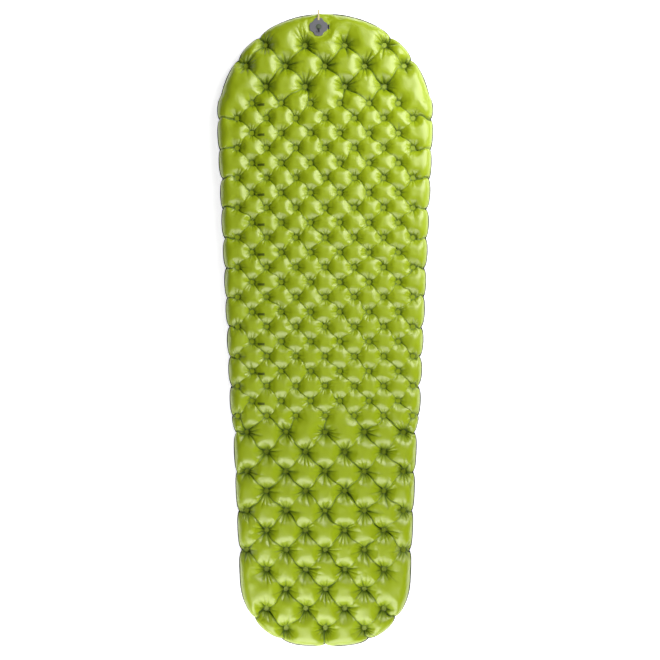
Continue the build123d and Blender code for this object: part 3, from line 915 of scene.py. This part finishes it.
class PAD_OT_seam(bpy.types.Operator):
    """Make the welded flange that runs round the rim"""
    bl_idname = "air_mat.seam"
    bl_label = "Rim seam"

    def execute(self, context):
        settings = context.scene.air_mat_seam
        inner = RIM.loop - RIM.normal * (RIM.notch + SEAM_TUCK)[:, None]
        bm = bmesh.new()
        bmesh.ops.create_circle(bm, segments=len(inner), radius=1)
        for v, p in zip(bm.verts, inner):
            v.co = (p[0], p[1], PLAN.middle)
        grown = bmesh.ops.extrude_edge_only(bm, edges=bm.edges)
        outer = [v for v in grown["geom"] if isinstance(v, bmesh.types.BMVert)]
        _, normal, place = RIM.near(np.array([v.co.xy for v in outer]))
        turn = 2 * math.pi * place / len(inner)
        # whole numbers of waves round the rim that never fall in step
        wave = np.sin(41 * turn) * 0.5 + np.sin(67 * turn + 1.3) * 0.3 + np.sin(97 * turn + 4) * 0.2
        for v, n, w in zip(outer, normal, wave):
            v.co.x += n[0] * (settings.width + SEAM_TUCK)
            v.co.y += n[1] * (settings.width + SEAM_TUCK)
            v.co.z += w * settings.ripple
        bmesh.ops.recalc_face_normals(bm, faces=bm.faces)
        bm.faces.ensure_lookup_table()
        if bm.faces[0].normal.z < 0:
            bmesh.ops.reverse_faces(bm, faces=bm.faces)
        seam = new_piece("rim_seam", bm)
        wall = seam.modifiers.new("wall", "SOLIDIFY")
        wall.thickness, wall.offset = settings.thickness, 0
        soft_edge = seam.modifiers.new("soft_edge", "BEVEL")
        soft_edge.width, soft_edge.segments = 0.0003, 2
        keep_result(seam)
        seam.data.shade_smooth()
        give(seam, charcoal_fabric("charcoal_binding", (0.018, 0.024, 0.012)))
        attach(seam, MAIN_BODY)
        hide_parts("perimeter_seam")
        return {"FINISHED"}


class PAD_OT_finishes(bpy.types.Operator):
    """Give the welds, the inner layers and the valve their materials"""
    bl_idname = "air_mat.finishes"
    bl_label = "Finishes"

    def execute(self, context):
        settings = context.scene.air_mat_covers
        grey = moulded("grey_polymer", (0.17, 0.17, 0.185), 0.42)
        black = moulded("black_rubber", (0.018, 0.018, 0.020), 0.55)
        looks = {
            ("torso_welds_upper", "torso_welds_lower", "head_welds", "leg_welds"):
                weld_spots(settings),
            ("insulation_fill",): batting(),
            ("reflective_film",): crinkled_film(),
            ("core_sheet", "core_ties_upper", "core_ties_lower"):
                moulded("pale_laminate", (0.55, 0.57, 0.58), 0.5),
            ("valve_patch",): moulded("clear_patch", (0.30, 0.40, 0.06), 0.4),
            ("valve_flange",): moulded("grey_valve_seat", (0.12, 0.13, 0.12), 0.45),
            ("deflate_plug",): grey,
            ("inflate_stopper", "inflate_grip"):
                moulded("greenish_stopper", (0.10, 0.13, 0.08), 0.4),
            ("deflate_gasket", "deflate_strap", "stopper_ring", "inflate_strap"): black,
            ("check_grille",): moulded("grille_polymer", (0.14, 0.15, 0.13), 0.45),
            ("check_flap",): moulded("pale_silicone", (0.45, 0.50, 0.36), 0.35),
            ("vent_button",): moulded("button_polymer", (0.20, 0.24, 0.14), 0.4),
            ("pull_tab",): moulded("cream_tab", (0.72, 0.62, 0.30), 0.5),
        }
        for names, finish in looks.items():
            for name in names:
                give(NODES[name], finish)
        return {"FINISHED"}


FLOOR_REACH = 14.5
DOME_RADIUS = 15.0


class PAD_OT_studio(bpy.types.Operator):
    """Make the floor, the lights and the camera"""
    bl_idname = "air_mat.studio"
    bl_label = "Studio"

    def execute(self, context):
        settings = context.scene.air_mat_studio
        context.scene.view_settings.view_transform = "Standard"
        self.backdrop()
        self.light("key_light", (0.95, 0.98, 1.05), (0, 0.42, 0), 31, 1.3)
        self.light("foot_light", (-0.15, -1.60, 0.85), (0, -0.5, 0), 23, 1.3)
        self.light("top_light", (0, 0, 3.2), (0, 0, 0), 3, 2.4)
        world = bpy.data.worlds.new("studio")
        context.scene.world = world
        world.use_nodes = True
        sky = world.node_tree.nodes["Background"]
        sky.inputs["Color"].default_value = (1, 1, 1, 1)
        sky.inputs["Strength"].default_value = 0.045
        data = bpy.data.cameras.new("camera")
        data.lens = settings.lens
        camera = bpy.data.objects.new("camera", data)
        context.scene.collection.objects.link(camera)
        lean = settings.tilt
        camera.location = (settings.sideways,
                           settings.lengthways + settings.distance * math.sin(lean),
                           settings.distance * math.cos(lean) + PLAN.middle)
        camera.rotation_euler = (-lean, 0, 0)
        context.scene.camera = camera
        return {"FINISHED"}

    def backdrop(self):
        """A pale floor, and a pale dome that shows behind the pad without lighting it."""
        bm = bmesh.new()
        bmesh.ops.create_grid(bm, x_segments=1, y_segments=1, size=FLOOR_REACH)
        floor = new_piece("floor", bm)
        paper = Finish("floor_paper", Roughness=0.9, Emission_Color=(1, 1, 1), Emission_Strength=0.7)
        paper.set(Base_Color=paper.blend(paper.noise(3.0), (0.93, 0.93, 0.93), (0.96, 0.96, 0.96)))
        give(floor, paper)
        bm = bmesh.new()
        bmesh.ops.create_uvsphere(bm, u_segments=48, v_segments=24, radius=DOME_RADIUS)
        bmesh.ops.reverse_faces(bm, faces=bm.faces)
        dome = new_piece("backdrop", bm)
        dome.data.shade_smooth()
        dome.visible_diffuse = dome.visible_glossy = dome.visible_shadow = False
        pale = Finish("backdrop_paper", Base_Color=(0, 0, 0), Roughness=1.0,
                      Specular_IOR_Level=0.0, Emission_Strength=0.75)
        pale.set(Emission_Color=pale.blend(pale.noise(0.3), (0.98, 0.98, 0.98), (1, 1, 1)))
        give(dome, pale)

    def light(self, name, place, target, power, size):
        """A square softbox that faces a target."""
        data = bpy.data.lights.new(name, "AREA")
        data.energy, data.size = power, size
        lamp = bpy.data.objects.new(name, data)
        lamp.location = place
        aim = Vector(target) - Vector(place)
        lamp.rotation_euler = aim.to_track_quat("-Z", "Y").to_euler()
        bpy.context.scene.collection.objects.link(lamp)


OPERATORS = (PAD_OT_covers, PAD_OT_seam, PAD_OT_finishes, PAD_OT_studio)


class PAD_PT_panel(bpy.types.Panel):
    """Lists the settings and the operators in the sidebar"""
    bl_idname = "PAD_PT_panel"
    bl_label = "Air mat"
    bl_space_type = "VIEW_3D"
    bl_region_type = "UI"
    bl_category = "Air mat"

    def draw(self, context):
        column = self.layout.column()
        for group in ("air_mat_covers", "air_mat_seam", "air_mat_studio"):
            settings = getattr(context.scene, group)
            for name in settings.__annotations__:
                column.prop(settings, name)
        for operator in OPERATORS:
            column.operator(operator.bl_idname)


CLASSES = (CoverSettings, SeamSettings, StudioSettings, *OPERATORS, PAD_PT_panel)


def register():
    for kind in CLASSES:
        bpy.utils.register_class(kind)
    bpy.types.Scene.air_mat_covers = bpy.props.PointerProperty(type=CoverSettings)
    bpy.types.Scene.air_mat_seam = bpy.props.PointerProperty(type=SeamSettings)
    bpy.types.Scene.air_mat_studio = bpy.props.PointerProperty(type=StudioSettings)


def unregister():
    del bpy.types.Scene.air_mat_studio
    del bpy.types.Scene.air_mat_seam
    del bpy.types.Scene.air_mat_covers
    for kind in reversed(CLASSES):
        bpy.utils.unregister_class(kind)


def main():
    register()
    bpy.ops.air_mat.covers()
    bpy.ops.air_mat.seam()
    bpy.ops.air_mat.finishes()
    bpy.ops.air_mat.studio()


if __name__ == "__main__":
    main()
